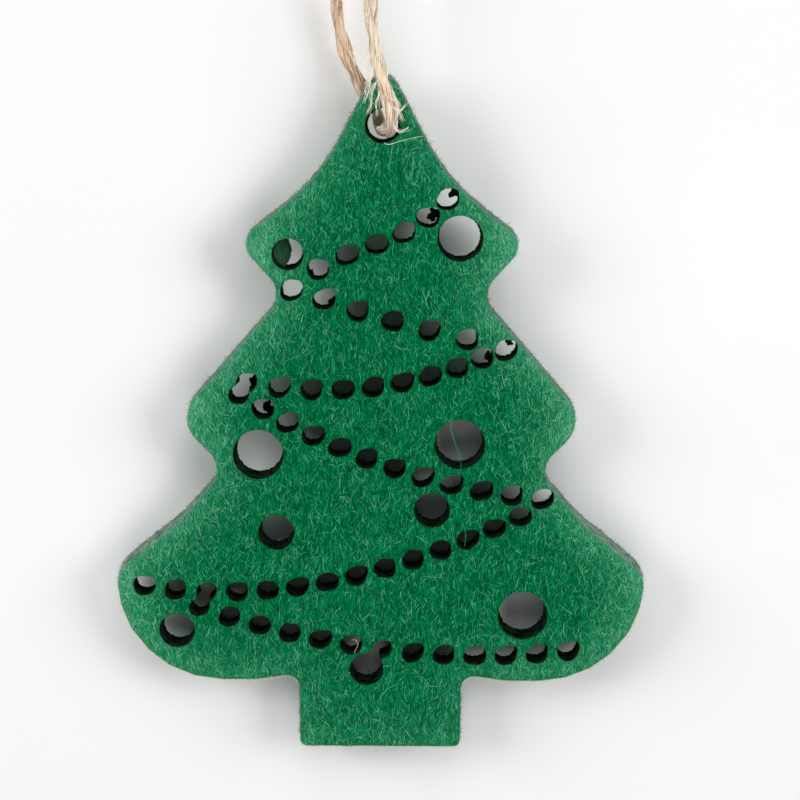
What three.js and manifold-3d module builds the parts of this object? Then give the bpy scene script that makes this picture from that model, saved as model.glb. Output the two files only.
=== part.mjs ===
// A flat felt Christmas tree ornament that hangs on a knotted loop of jute twine.
// Millimetres, +Z up, with the felt's front face towards -Y.
// The origin is the point that a hook carries: inside the loop, just under its knot.
import * as THREE from 'three';
import { mergeVertices } from 'three/addons/utils/BufferGeometryUtils.js';
import Module from 'manifold-3d';

// Felt panel. Places on it are measured from the hanging hole's axis: out to the side in percent
// of half the tree's width, and down in percent of its height, which radii and sags go by too.
const TREE_HEIGHT = 100;
const TREE_WIDTH = 78.2;
const TRUNK_WIDTH = 24.1;
const FELT_THICKNESS = 4;
const HANGING_HOLE_DIAMETER = 4.8;
const CUT_TAPER = 0.35; // a hole is this much narrower, on each side, where the cut leaves at the back

// Right half of the outline: the corners of its straight edges, and the radius that rounds each.
const OUTLINE = [
  { out: 22.6, down: 7.2, round: 25 }, // top flank sweeps outwards
  { out: 53.7, down: 16.5, round: 3.1 }, // top lobe
  { out: 35.8, down: 24.0, round: 3.4 }, // upper waist
  { out: 77.2, down: 42.7, round: 5.0 }, // middle lobe
  { out: 58.4, down: 49.9, round: 3.3 }, // lower waist
  { out: 76.6, down: 58.1, round: 20 }, // bottom flank sweeps outwards
  { out: 100, down: 65.5, round: 2.0 }, // shoulder of the bottom lobe
  { out: 100, down: 82.5, round: 15.5 }, // round belly of the bottom lobe
  { out: 47.3, down: 82.5, round: 12 }, // underside rises a little towards the trunk
];
const TIP = { down: -9.5, round: 2.3 }; // where the two top flanks would meet
const TRUNK_ROOT = { down: 81.5, round: 2.0 }; // where the trunk meets the underside
const TRUNK_FOOT = { down: 93.0, round: 1.0 };

// Bead hole: a rounded oval with its sharpest corner up to the right. Its corners are measured from
// its own middle, in percent of its width and height, and their radii in percent of its height.
const BEAD_WIDTH = 3.1;
const BEAD_HEIGHT = 2.75;
const BEAD_CORNERS = [
  { side: -50, up: 50, round: 54 },
  { side: -50, up: -50, round: 44 },
  { side: 50, up: -50, round: 52 },
  { side: 50, up: 50, round: 24 },
];

// Garland: strands of bead holes that zigzag down the tree. The sags say how far a strand hangs
// below a straight line between its ends, early and late along it. Its first beads stand closer
// together than on average by its crowding, in percent, and its last ones as much farther apart.
const GARLAND = [
  {
    from: { out: 23.9, down: 10.4 },
    to: { out: -33.4, down: 23.6 },
    sags: [3.7, -3.0],
    crowding: 15,
    beads: 7,
  },
  {
    from: { out: -21.2, down: 24.9 },
    to: { out: 46.0, down: 32.2 },
    sags: [1.0, -0.2],
    crowding: 9,
    beads: 6,
  },
  {
    from: { out: 37.2, down: 33.4 },
    to: { out: -50.2, down: 37.2 },
    sags: [3.7, 3.3],
    crowding: 12,
    beads: 9,
  },
  {
    from: { out: -53.1, down: 39.0 },
    to: { out: 60.7, down: 54.4 },
    sags: [4.2, 3.9],
    crowding: 6,
    beads: 12,
  },
  {
    from: { out: 52.4, down: 57.1 },
    to: { out: -89.7, down: 68.0 },
    sags: [5.6, 6.7],
    crowding: 5,
    beads: 14,
  },
  {
    from: { out: -68.9, down: 71.3 },
    to: { out: 71.7, down: 77.8 },
    sags: [4.1, 4.5],
    crowding: 0,
    beads: 13,
  },
];

// Bauble holes: round, in four sizes, scattered between the strands.
const BAUBLE_LARGE = 7.2;
const BAUBLE_MEDIUM = 6.4;
const BAUBLE_SMALL = 5.1;
const BAUBLE_TINY = 4.4;
const BAUBLES = [
  { out: 28.6, down: 16.0, diameter: BAUBLE_MEDIUM },
  { out: -34.6, down: 18.4, diameter: BAUBLE_TINY },
  { out: -46.0, down: 47.9, diameter: BAUBLE_LARGE },
  { out: 29.4, down: 46.2, diameter: BAUBLE_LARGE },
  { out: 19.2, down: 56.2, diameter: BAUBLE_SMALL },
  { out: -39.4, down: 59.7, diameter: BAUBLE_SMALL },
  { out: -77.5, down: 74.9, diameter: BAUBLE_SMALL },
  { out: 54.1, down: 72.3, diameter: BAUBLE_LARGE },
  { out: -5.3, down: 80.8, diameter: BAUBLE_SMALL },
];

// Half of a cut-out disc that never fell out of its bauble hole.
const PLUGGED_BAUBLE = BAUBLES[1];
const PLUG_THICKNESS = 1.6;
const PLUG_DEPTH = 2.2; // from the front face to the plug
const PLUG_BULGE = 0.3; // how far its torn edge stands past the middle of the hole

// Twine: one length through the hanging hole, its two ends tied together in a knot.
const TWINE_DIAMETER = 2;
const LOOP_DROP = 60; // from the hook down to the hanging hole
const STRAND_GAP = 0.4; // between a strand and the felt's face
const KNOT_RISE = 1.2; // from the hook up to the underside of the knot
const KNOT_HEIGHT = 6;
const KNOT_CORE_DIAMETER = 4.6;
const KNOT_BEVEL = 0.7;
const KNOT_TILT = 24; // degrees that the turns of the knot lean
const TAIL_RISE = 12; // how far a loose end stands above the knot
const TAIL_SPREAD = 3.4; // how far a loose end leans out

const SEAT_GAP = 0.3; // between pieces that touch
const CUT_OVERRUN = 1; // how far a cutter stands past both faces of the felt

// How finely curves are cut into flats: per arc on the felt, and along and around the twine.
const OUTLINE_SEGMENTS = 3;
const ROUND_HOLE_SEGMENTS = 10;
const BEAD_HOLE_SEGMENTS = 2;
const PLUG_SEGMENTS = 6;
const TWINE_SEGMENTS = 4;
const LOOP_STEPS = 80;
const TAIL_STEPS = 6;
const KNOT_SEGMENTS = 20;

const FELT_GREEN = 0x0a6e43;
const PLUG_GREEN = 0x24402c;
const JUTE = 0xcdb48c;

const wasm = await Module();
wasm.setup();

const twineRadius = TWINE_DIAMETER / 2;
const strandY = FELT_THICKNESS / 2 + STRAND_GAP + twineRadius;
const knotTop = KNOT_RISE + KNOT_HEIGHT;
const besideKnot = twineRadius + SEAT_GAP / 2; // each strand's distance from the middle of the knot
const percentOut = TREE_WIDTH / 200;
const percentDown = TREE_HEIGHT / 100;

// A place on the felt, in millimetres from the hanging hole's axis.
function onFelt({ out, down }) {
  return new THREE.Vector2(out * percentOut, -down * percentDown);
}

// A closed polygon whose corners are rounded by tangent arcs. Where two arcs would meet on an edge
// that is too short for both, they share it.
function roundedShape(corners) {
  const shape = new THREE.Shape();
  const edges = corners.map((corner, i) => {
    const next = corners[(i + 1) % corners.length];
    return next.point.clone().sub(corner.point);
  });
  const halfAngles = edges.map((edge, i) => {
    const back = edges.at(i - 1).clone().negate();
    return Math.acos(edge.dot(back) / (edge.length() * back.length())) / 2;
  });
  const wanted = corners.map((corner, i) => corner.round / Math.tan(halfAngles[i]));
  const shares = edges.map((edge, i) => {
    return Math.min(1, edge.length() / (wanted[i] + wanted[(i + 1) % wanted.length]));
  });
  corners.forEach((corner, i) => {
    const { point } = corner;
    const after = edges[i].clone().normalize();
    const before = edges.at(i - 1).clone().normalize().negate();
    const reach = wanted[i] * Math.min(shares[i], shares.at(i - 1));
    const radius = reach * Math.tan(halfAngles[i]);
    const inward = before.clone().add(after).normalize();
    const centre = point.clone().addScaledVector(inward, radius / Math.sin(halfAngles[i]));
    const start = point.clone().addScaledVector(before, reach).sub(centre).angle();
    const end = point.clone().addScaledVector(after, reach).sub(centre).angle();
    shape.absarc(centre.x, centre.y, radius, start, end, before.cross(after) > 0);
  });
  shape.closePath();
  return shape;
}

// A flat shape drawn in X and Z, made thick along Y about the plane Y = 0.
function slab(shape, thickness, curveSegments) {
  const geometry = new THREE.ExtrudeGeometry(shape, {
    depth: thickness,
    bevelEnabled: false,
    curveSegments,
  });
  geometry.rotateX(Math.PI / 2);
  geometry.translate(0, thickness / 2, 0);
  return geometry;
}

function toManifold(geometry) {
  const bare = geometry.clone();
  bare.deleteAttribute('normal');
  bare.deleteAttribute('uv');
  const merged = mergeVertices(bare, 1e-4);
  const vertProperties = new Float32Array(merged.attributes.position.array);
  const triVerts = new Uint32Array(merged.index.array);
  return new wasm.Manifold(new wasm.Mesh({ numProp: 3, vertProperties, triVerts }));
}

function toGeometry(manifold) {
  const { vertProperties, triVerts } = manifold.getMesh();
  const geometry = new THREE.BufferGeometry();
  geometry.setAttribute('position', new THREE.BufferAttribute(vertProperties, 3));
  geometry.setIndex(new THREE.BufferAttribute(triVerts, 1));
  geometry.computeVertexNormals();
  return geometry;
}

// Half of the outline runs down the right side, and its mirror image runs up the left.
function treeShape() {
  const trunkSide = TRUNK_WIDTH / 2 / percentOut;
  const tip = { ...TIP, out: 0 };
  const right = [...OUTLINE, { ...TRUNK_ROOT, out: trunkSide }, { ...TRUNK_FOOT, out: trunkSide }];
  const left = right.map((corner) => ({ ...corner, out: -corner.out })).reverse();
  const corners = [tip, ...right, ...left].map((corner) => {
    return { point: onFelt(corner), round: corner.round * percentDown };
  });
  return roundedShape(corners);
}

// A cutter through the felt, as wide as its shape at the front face and tapered towards the back.
function holeCutter(shape, width, place, curveSegments) {
  const geometry = slab(shape, FELT_THICKNESS + 2 * CUT_OVERRUN, curveSegments);
  const position = geometry.attributes.position;
  for (let i = 0; i < position.count; i += 1) {
    const depth = position.getY(i) + FELT_THICKNESS / 2;
    const scale = 1 - (2 * CUT_TAPER * depth) / (FELT_THICKNESS * width);
    position.setX(i, scale * position.getX(i));
    position.setZ(i, scale * position.getZ(i));
  }
  geometry.translate(place.x, 0, place.y);
  return toManifold(geometry);
}

function roundHole(diameter, place) {
  const shape = new THREE.Shape().absarc(0, 0, diameter / 2, 0, 2 * Math.PI, false);
  return holeCutter(shape, diameter, place, ROUND_HOLE_SEGMENTS);
}

function beadShape() {
  const corners = BEAD_CORNERS.map(({ side, up, round }) => ({
    point: new THREE.Vector2((side / 100) * BEAD_WIDTH, (up / 100) * BEAD_HEIGHT),
    round: (round / 100) * BEAD_HEIGHT,
  }));
  return roundedShape(corners);
}

function beadHoles() {
  const shape = beadShape();
  const meanWidth = (BEAD_WIDTH + BEAD_HEIGHT) / 2;
  return GARLAND.flatMap(({ from, to, sags, crowding, beads }) => {
    const start = onFelt(from);
    const end = onFelt(to);
    const [early, late] = sags.map((sag, i) => {
      return start.clone().lerp(end, (i + 1) / 3).add(onFelt({ out: 0, down: sag }));
    });
    const line = new THREE.CubicBezierCurve(start, early, late, end);
    const places = Array.from({ length: beads }, (_, i) => {
      const even = i / (beads - 1);
      return line.getPointAt(even * (1 - (crowding / 100) * (1 - even)));
    });
    return places.map((place) => holeCutter(shape, meanWidth, place, BEAD_HOLE_SEGMENTS));
  });
}

function feltTree() {
  const cutters = [
    roundHole(HANGING_HOLE_DIAMETER, new THREE.Vector2()),
    ...BAUBLES.map((bauble) => roundHole(bauble.diameter, onFelt(bauble))),
    ...beadHoles(),
  ];
  const panel = toManifold(slab(treeShape(), FELT_THICKNESS, OUTLINE_SEGMENTS));
  return toGeometry(cutters.reduce((felt, cutter) => felt.subtract(cutter), panel));
}

// The plug is the left half of its hole's disc, clear of the tapered wall at its own back face.
function stuckPlug() {
  const wallShare = (PLUG_DEPTH + PLUG_THICKNESS) / FELT_THICKNESS;
  const radius = PLUGGED_BAUBLE.diameter / 2 - CUT_TAPER * wallShare - SEAT_GAP;
  const shape = new THREE.Shape();
  shape.absarc(0, 0, radius, Math.PI / 2, 1.5 * Math.PI, false);
  shape.quadraticCurveTo(2 * PLUG_BULGE, 0, 0, radius);
  return slab(shape, PLUG_THICKNESS, PLUG_SEGMENTS);
}

// The strand's route, from the knot down the front, through the hanging hole and up the back.
function loopRoute() {
  const drop = -LOOP_DROP;
  const turnTop = drop + HANGING_HOLE_DIAMETER / 2;
  const start = KNOT_RISE - SEAT_GAP;
  const front = [
    [besideKnot, -0.3, start],
    [1.3, -0.6, -2.5],
    [1.9, -1.5, -12],
    [0.2, -2.4, drop + 30],
    [-1.7, -3.0, drop + 18],
    [-1.1, -strandY, drop + 11],
    [0.4, -strandY, drop + 5],
  ];
  const turnSides = [1.2, 1.3, 1.0, 0.4, -0.2, -0.7, -1.2];
  const turn = turnSides.map((x, i) => {
    const angle = (Math.PI * i) / (turnSides.length - 1);
    return [x, -strandY * Math.cos(angle), turnTop - strandY * Math.sin(angle)];
  });
  const back = [
    [-2.7, strandY, drop + 4.6],
    [-4.8, strandY, drop + 8.6],
    [-6.0, 3.2, drop + 12.4],
    [-6.7, 3.0, drop + 17],
    [-6.6, 2.2, drop + 28],
    [-3.6, 1.0, -12],
    [-1.4, 0.5, -2.5],
    [-besideKnot, 0.3, start],
  ];
  return [...front, ...turn, ...back];
}

function twineTube(points, steps) {
  const route = new THREE.CatmullRomCurve3(points.map((point) => new THREE.Vector3(...point)));
  const section = new THREE.Shape().absarc(0, 0, twineRadius, 0, 2 * Math.PI, false);
  return new THREE.ExtrudeGeometry(section, { extrudePath: route, steps, curveSegments: TWINE_SEGMENTS });
}

// The knot: a core with two turns of twine leaning round it.
function twineKnot() {
  const half = KNOT_HEIGHT / 2;
  const coreRadius = KNOT_CORE_DIAMETER / 2;
  const profile = [
    new THREE.Vector2(0, -half),
    new THREE.Vector2(coreRadius - KNOT_BEVEL, -half),
    new THREE.Vector2(coreRadius, KNOT_BEVEL - half),
    new THREE.Vector2(coreRadius, half - KNOT_BEVEL),
    new THREE.Vector2(coreRadius - KNOT_BEVEL, half),
    new THREE.Vector2(0, half),
  ];
  const core = new THREE.LatheGeometry(profile, KNOT_SEGMENTS);
  core.rotateX(Math.PI / 2);
  const turns = [-1, 1].map((side) => {
    const turn = new THREE.TorusGeometry(coreRadius, twineRadius, 2 * TWINE_SEGMENTS, KNOT_SEGMENTS);
    turn.rotateY(THREE.MathUtils.degToRad(KNOT_TILT));
    turn.translate(0, 0, side * twineRadius);
    return toManifold(turn);
  });
  return toGeometry(turns.reduce((knot, turn) => knot.add(turn), toManifold(core)));
}

function twineTail(side) {
  const foot = knotTop + SEAT_GAP;
  const points = [
    [side * besideKnot, 0, foot],
    [side * besideKnot, 0, foot + TWINE_DIAMETER],
    [side * 0.6 * TAIL_SPREAD, side * -0.8, foot + 0.6 * TAIL_RISE],
    [side * TAIL_SPREAD, side * -0.6, foot + TAIL_RISE],
  ];
  return twineTube(points, TAIL_STEPS);
}

function part(name, geometry, color, roughness) {
  const material = new THREE.MeshStandardMaterial({ color, roughness, metalness: 0 });
  const mesh = new THREE.Mesh(geometry, material);
  mesh.name = name;
  return mesh;
}

const tree = new THREE.Group();
tree.position.z = -LOOP_DROP;
tree.add(part('felt_tree', feltTree(), FELT_GREEN, 0.95));
const plug = part('stuck_plug', stuckPlug(), PLUG_GREEN, 0.95);
const plugY = -FELT_THICKNESS / 2 + PLUG_DEPTH + PLUG_THICKNESS / 2;
const plugPlace = onFelt(PLUGGED_BAUBLE);
plug.position.set(plugPlace.x, plugY, plugPlace.y);
tree.add(plug);

const hanger = new THREE.Group();
hanger.add(part('twine_loop', twineTube(loopRoute(), LOOP_STEPS), JUTE, 0.9));
const knot = part('twine_knot', twineKnot(), JUTE, 0.9);
knot.position.z = KNOT_RISE + KNOT_HEIGHT / 2;
hanger.add(knot);
hanger.add(part('twine_tail_right', twineTail(1), JUTE, 0.9));
hanger.add(part('twine_tail_left', twineTail(-1), JUTE, 0.9));

const ornament = new THREE.Group();
ornament.add(hanger, tree);

export default ornament;
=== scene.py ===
"""Looks of a felt Christmas tree ornament that hangs on a knotted loop of jute twine.

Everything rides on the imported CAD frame. Sizes are in millimetres until a mesh is made.
"""
import math
from collections import namedtuple

import bpy
import numpy as np
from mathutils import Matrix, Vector
from mathutils.geometry import delaunay_2d_cdt
from mathutils.kdtree import KDTree
from numpy.linalg import norm


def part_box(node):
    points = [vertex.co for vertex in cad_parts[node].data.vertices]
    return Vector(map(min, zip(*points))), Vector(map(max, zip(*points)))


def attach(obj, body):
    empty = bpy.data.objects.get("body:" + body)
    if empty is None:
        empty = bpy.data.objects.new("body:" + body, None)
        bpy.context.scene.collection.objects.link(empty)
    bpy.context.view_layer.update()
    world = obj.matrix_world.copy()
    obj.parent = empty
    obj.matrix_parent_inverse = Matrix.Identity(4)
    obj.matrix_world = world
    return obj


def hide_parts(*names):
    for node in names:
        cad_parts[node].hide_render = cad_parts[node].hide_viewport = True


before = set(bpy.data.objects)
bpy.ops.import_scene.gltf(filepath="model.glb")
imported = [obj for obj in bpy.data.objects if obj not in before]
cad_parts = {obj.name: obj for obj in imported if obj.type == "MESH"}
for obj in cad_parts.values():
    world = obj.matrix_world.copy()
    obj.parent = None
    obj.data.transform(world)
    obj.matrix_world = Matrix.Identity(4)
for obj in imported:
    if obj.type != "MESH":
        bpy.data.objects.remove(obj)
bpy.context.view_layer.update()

MM = 0.001
rng = np.random.default_rng(24)
scene = bpy.context.scene

# Felt: how finely cut edges and faces are drawn, how soft the edges are, and how far a face rolls
EDGE_STEP = 0.22
EDGE_BLUR = 0.24
EDGE_ROUND = 0.06
FACE_STEP = 0.6
FACE_ROW_STEP = 0.87 * FACE_STEP
FACE_JITTER = 0.1
FACE_MARGIN = 0.35
RELIEF = 0.07
RELIEF_ROLLS = 14
RELIEF_LENGTHS = (2.0, 9.0)

# A cut wall from front to back, as shares of the thickness, and how rounded, ragged and singed it is there
WALL_DEPTHS = np.array([0, 0.05, 0.16, 0.4, 1.0, 1.7, 2.4, 3.0, 3.5, 3.85, 4.0]) / 4
WALL_ROUNDING = np.array([1, 0.45, 0.12, 0, 0, 0, 0, 0, 0, 0.2, 0.8])
WALL_RAGGEDNESS = np.array([0.05, 0.08, 0.1, 0.12, 0.15, 0.2, 0.3, 0.5, 0.8, 1, 1])
WALL_SINGE = np.interp(WALL_DEPTHS, [0, 0.012, 0.05, 1], [0, 0.5, 1, 1])
TEAR_LENGTHS = (0.6, 2.4)
FRAY_LENGTHS = (0.45, 1.0)
TEAR_MOST = 1.8

# Outline: how far its front edge is inset and its back edge flares where the wall faces up. The tip isn't
# inset, and the lowest shoulders flare more and are rounder, in bands with a level and a reach.
RIM_INSET = 0.42
RIM_FLARE = 0.22
SHOULDER_FLARE = 0.45
FLARE_BAND = (-121.0, 5.0)
SHOULDER_BLUR = 1.3
SHOULDER_BAND = (-126.5, 5.0)
TIP_FOOT = -66.0
TIP_FADE = 6.0

# Holes: how much wider they are than the solid's, how they narrow to the back, and how misshapen beads are
HOLE_SPREAD = 0.12
HOLE_TAPER = 0.35
BEAD_TAPER = 0.15
BEAD_AREA = 9.0
BEAD_OVAL = 0.045
BEAD_THREE_SIDED = 0.035

# Necks of holes that two cuts share. The way round one is over NECK_DETOUR times the way across.
NECKED = 2.0
NO_NECK = 9.0
NECK_DETOUR = 2.2
NECK_PINCH = 0.3
NECK_SHARE = 0.3

# Stuck cut-out: where its torn edge lies right of the hole's middle, and its teeth as depth, waves and phase
PLUG_EDGE = 0.38
PLUG_BULGE = 0.22
PLUG_TEETH = [(0.09, 9, 1), (0.06, 21, 0)]
PLUG_BLUR = 0.16

# Loose fibres on a face: how many, points along each, length, width, lean and bend
FibreLayer = namedtuple("FibreLayer", "count steps length width lean bow")
FIBRE_LAYERS = {
    "nap": FibreLayer(48000, 3, 1.35, 0.05, 0.42, 0.05),
    "cross": FibreLayer(48000, 3, 1.35, 0.05, 0.85, 0.05),
    "thread": FibreLayer(100, 12, 5.5, 0.05, 0.95, 0.14),
}
LENGTH_SPREAD = 0.4
WIDTH_SPREAD = (0.75, 1.4)
THREAD_SHADES = (0.7, 0.95)
FIBRE_SHADES = (1.25, 1.85)
LENGTH_AT_EDGE = 0.1
LENGTH_PER_MM = 1.85
FIBRE_LIFT = 0.03
FIBRE_SUNK = 0.02

# Haze, a painted sheen that pales the felt near its outline: its reach, its share at depths below the
# hanging hole, and what it adds to the fibres' shade
HAZE_REACH = 3.8
HAZE_DEPTHS = [5, 16, 70, 80, 86]
HAZE_SHARES = [0.6, 1.3, 1.25, 0.8, 0.45]
# The left side, where less light falls, gets less of the painted sheen
HAZE_LEFT = 0.9
HAZE_SHADE = 0.55

# Fibres that stick out of cut walls. On low undersides many root at the front edge and get the palest shade,
# a painted highlight along the lower edges.
RIM_FIBRES = 15000
HOLE_FIBRES = 4000
EDGE_FIBRE_WIDTH = 0.065
EDGE_FIBRE_ROOT = 0.06
EDGE_FIBRE_SLIDE = 0.35
RIM_REACH = 0.09
HOLE_REACH = 0.03
UNDERSIDE_LEVEL = -122.0
UNDERSIDE_FADE = 10.0
UNDERSIDE_SLOPE = 1.6
UNDERSIDE_MOST = 0.8

# Scraps on the back edges of holes: middle x and z, width and height, and where their two faces lie in Y
HOLE_TAGS = [
    (10.3, -69.75, 1.5, 1.3), (7.37, -72.9, 1.7, 1.8), (-18.77, -97.72, 1.2, 1.9),
    (-16.67, -101.48, 1.4, 2), (15.54, -93.7, 1.1, 1.3), (18.6, -91.5, 1.1, 0.9),
    (-10.5, -81.8, 1.3, 2.1), (-7.2, -86.2, 1.3, 2),
]
TAG_FACES = (0.9, 1.8)
TAG_TORN = 0.24

# Single fibres, laid one by one
LOOSE_THREADS = [
    [(10.2, -2.1, -102), (10.2, -1.9, -104), (11, -1.8, -106.6), (11.7, -1.9, -108.6), (11.6, -2.1, -110)],
    [(12.2, -2.1, -118.6), (12.5, -1.9, -120), (12.35, -2.1, -121.6)],
    [(-2.2, -1.9, -140.2), (-1.9, -1, -141.4), (-1.3, -0.4, -142.2)],
]
STRAY_CURL = [
    (-4.4, -0.6, -136.7), (-3.85, -1.2, -136.45), (-3.35, -1.7, -136.8),
    (-3.45, -2, -137.3), (-3.8, -2.1, -137.95), (-3.9, -2.1, -138.3),
]

# Twine: two plies of long fibres round packed cores, with LAY as the length of one turn
TWINE_DIAMETER = 2.0
TWINE_STEP = 0.55
KNOT_STEP = 0.45
PLY_RADIUS = 0.72
PLY_OFFSET = 0.38
PLY_FIBRES = 220
PLY_TWIST = 0.8
CORE_SHARE = 0.86
CORE_SIDES = 10
LAY = 13.0
FIBRE_SPAN = 30.0
FIBRE_STEP = 0.75
DARK_SHARE = 0.2
LOOSE_SHARE = 0.3
# How much darker the fibres behind the felt are drawn, a painted shade
BACK_SHADE = 0.36

# The twine's route: the hanging hole's level, and the strands and ends of the knot
HANG_LEVEL = -60.0
BESIDE_KNOT = 1.15
KNOT_FOOT = 0.9
KNOT_TOP = 7.5
KNOT_LEAN = math.radians(24)
KNOT_RADII = (2.2, 2.3)

# Where the twine frays, listed one by one. Each of those in the bundles is one of five fibres.
FRAYED_ENDS = [
    [(0.2, -3.6, -62.2), (0.8, -2.6, -62.6), (3, -2.3, -62), (5.7, -2.25, -61.4)],
    [(-1, -2.4, -60.5), (-0.4, -2.9, -60), (0.3, -3.6, -59.5)],
    [(-0.9, -3.6, -51), (-1.7, -3.9, -53), (-2, -3.8, -55), (-2.5, -3.4, -56.6)],
    [(-1, -3.8, -52.5), (-1.9, -4.2, -53.6), (-2.4, -4, -54.6), (-2.3, -3.6, -55.6)],
    [(-0.7, -3.9, -53.5), (-1.5, -4, -55.2), (-1.6, -3.6, -57), (-2.2, -3.2, -58.4)],
    [(-1.3, -3.6, -49.5), (-2.4, -4, -50.8), (-2.9, -4, -51.9)],
    [(-0.4, -4, -55), (-0.9, -4.2, -56.8), (-0.8, -3.8, -58.6)],
    [(1.2, -3.9, -57), (2.4, -4.2, -57.8), (3.3, -4, -57)],
    [(1.4, -4, -57.2), (2.6, -4.1, -58.3), (2.8, -3.7, -59.4)],
    [(1.6, -4.1, -59.6), (2.5, -3.8, -60.7), (3.7, -3.2, -60.1)],
    [(1, -4.2, -56), (2.2, -4.3, -56.4), (2.6, -4.1, -57.4), (2, -3.9, -58.6)],
    [(-6.2, 3.2, -50), (-7.6, 3.6, -53), (-8.6, 3.7, -56.6), (-7, 3.6, -59.4), (-5.6, 3.5, -61.2)],
    [(-6.4, 3.2, -46), (-8, 3.4, -48.4), (-8.9, 3.5, -52), (-8.7, 3.6, -55)],
    [(-1.6, -3.4, -44), (-2.6, -3.8, -46.5), (-2.2, -3.9, -49)],
]
BUNDLES = slice(1, 11)
BUNDLE_EXTRA = 4
BUNDLE_SPREAD = 0.2

# The paper falls away at the top right and rises below. Each of its buckles has a middle, reach and height.
PAPER_WHITE = (0.9, 0.9, 0.9, 1)
PAPER_GAP = 3.4
PAPER_FALL = 0.75
PAPER_RISE = 0.5
PAPER_BUCKLES = [((-19, -110), (9, 8.5), 2.8), ((-15, -82), (8, 7), 2.2), ((-26, -130), (16, 10), -0.6)]

# Light: a soft dome, four lamps in front and one behind, each with its place and size in metres, and watts
DOME_FRONT = 0.17
DOME_BACK = 0.08
LAMP_AIM = (0, 0, -0.1)
LAMPS = {
    "left_lamp": ((-0.9, -0.52, 0.22), 0.6, 7.4),
    "right_lamp": ((0.86, -0.62, 0.12), 0.6, 6.7),
    "top_lamp": ((0.0, -0.6, 0.8), 0.9, 4.7),
    "low_lamp": ((0.1, -0.75, -0.75), 0.9, 2.6),
    "back_lamp": ((0.0, 1.1, -0.1), 0.8, 9.0),
}

# The camera of the photograph: its height above the felt's normal, distance, field of view and roll
CAMERA_ELEVATION = math.radians(12)
CAMERA_DISTANCE = 290.7
CAMERA_ANGLE = math.radians(22.62)
CAMERA_ROLL = math.radians(0.35)
PICTURE_MIDDLE = (2.7, -2.0, -99.6)

# Colours as they look on screen. The stops of a ramp have a place, red, green and blue.
FELT_STREAKS = [(0.42, 0, 40, 21), (0.56, 0, 88, 48), (0.68, 5, 130, 77), (0.82, 38, 152, 100)]
# The stuck cut-out's felt is drawn darker than the tree's, a painted shade for its place deep in the hole
SHADED_PLUG_STREAKS = [(0.42, 14, 28, 16), (0.56, 32, 54, 33), (0.68, 52, 78, 50), (0.82, 84, 106, 78)]
# The pale colour that the painted sheen mixes into the felt near its outline
SHEEN_FELT = (84, 160, 120)
SINGED_WALL = [(0.35, 14, 20, 17), (0.65, 36, 48, 42)]
RIM_WALL = [(0.3, 66, 92, 79), (0.7, 134, 157, 144)]
FELT_SHADES = [
    (0.0, 0, 50, 27), (0.3, 2, 108, 62), (0.5, 12, 138, 84),
    (0.65, 35, 157, 109), (0.8, 68, 176, 134), (1.0, 138, 210, 172),
]
SINGED_SHADES = [(0.0, 26, 34, 26), (1.0, 58, 66, 54)]
# The palest rim stop is a painted highlight for fibres on the low front edges
RIM_SHADES = [(0.0, 14, 84, 52), (0.7, 140, 162, 149), (1.0, 228, 234, 192)]
JUTE_SHADES = [(0.0, 142, 102, 64), (0.25, 244, 216, 182), (0.6, 255, 243, 222), (1.0, 255, 251, 243)]


# Meshes

def mesh_piece(name, points, faces, uvs, material, values=None):
    """A mesh from points in millimetres. faces is a list of index arrays, and uvs has a map for each."""
    mesh = bpy.data.meshes.new(name)
    sides = np.concatenate([np.full(len(f), f.shape[1]) for f in faces])
    corners = np.concatenate([f.ravel() for f in faces])
    mesh.vertices.add(len(points))
    mesh.vertices.foreach_set("co", (np.asarray(points) * MM).astype(np.float32).ravel())
    mesh.loops.add(len(corners))
    mesh.loops.foreach_set("vertex_index", corners.astype(np.int32))
    mesh.polygons.add(len(sides))
    mesh.polygons.foreach_set("loop_start", (np.cumsum(sides) - sides).astype(np.int32))
    mesh.polygons.foreach_set("use_smooth", np.ones(len(sides), bool))
    layer = mesh.uv_layers.new(name="OFBake")
    places = np.concatenate([uv[f.ravel()] for uv, f in zip(uvs, faces)])
    mesh.update(calc_edges=True)
    layer.uv.foreach_set("vector", places.astype(np.float32).ravel())
    for key, numbers in (values or {}).items():
        attribute = mesh.attributes.new(key, "FLOAT", "POINT")
        attribute.data.foreach_set("value", np.asarray(numbers, np.float32))
    mesh.materials.append(material)
    piece = bpy.data.objects.new(name, mesh)
    scene.collection.objects.link(piece)
    return piece


def unit(vectors):
    return vectors / np.maximum(norm(vectors, axis=-1, keepdims=True), 1e-12)


def around(first, second, angle):
    """The direction at an angle from the first towards the second."""
    return first * np.cos(angle)[..., None] + second * np.sin(angle)[..., None]


def interpolated(at, along, rows):
    """Rows that are known along a line, at other distances along it."""
    return np.stack([np.interp(at, along, column) for column in rows.T], -1)


def bell(values, middle, reach):
    """1 at the middle, falling off to both sides."""
    return np.exp(-(((values - middle) / reach) ** 2))


def distance_to(others, points):
    """Each flat point's distance to the nearest of the others."""
    tree = KDTree(len(others))
    for i, (x, z) in enumerate(others):
        tree.insert((x, z, 0), i)
    tree.balance()
    return np.array([tree.find((x, z, 0))[2] for x, z in points])


def tube_quads(rows, count):
    """Quads between rows of points that each close into a ring."""
    here = np.arange((rows - 1) * count)
    after = np.where(here % count == count - 1, here + 1 - count, here + 1)
    return np.stack([here, after, after + count, here + count], 1)


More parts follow.
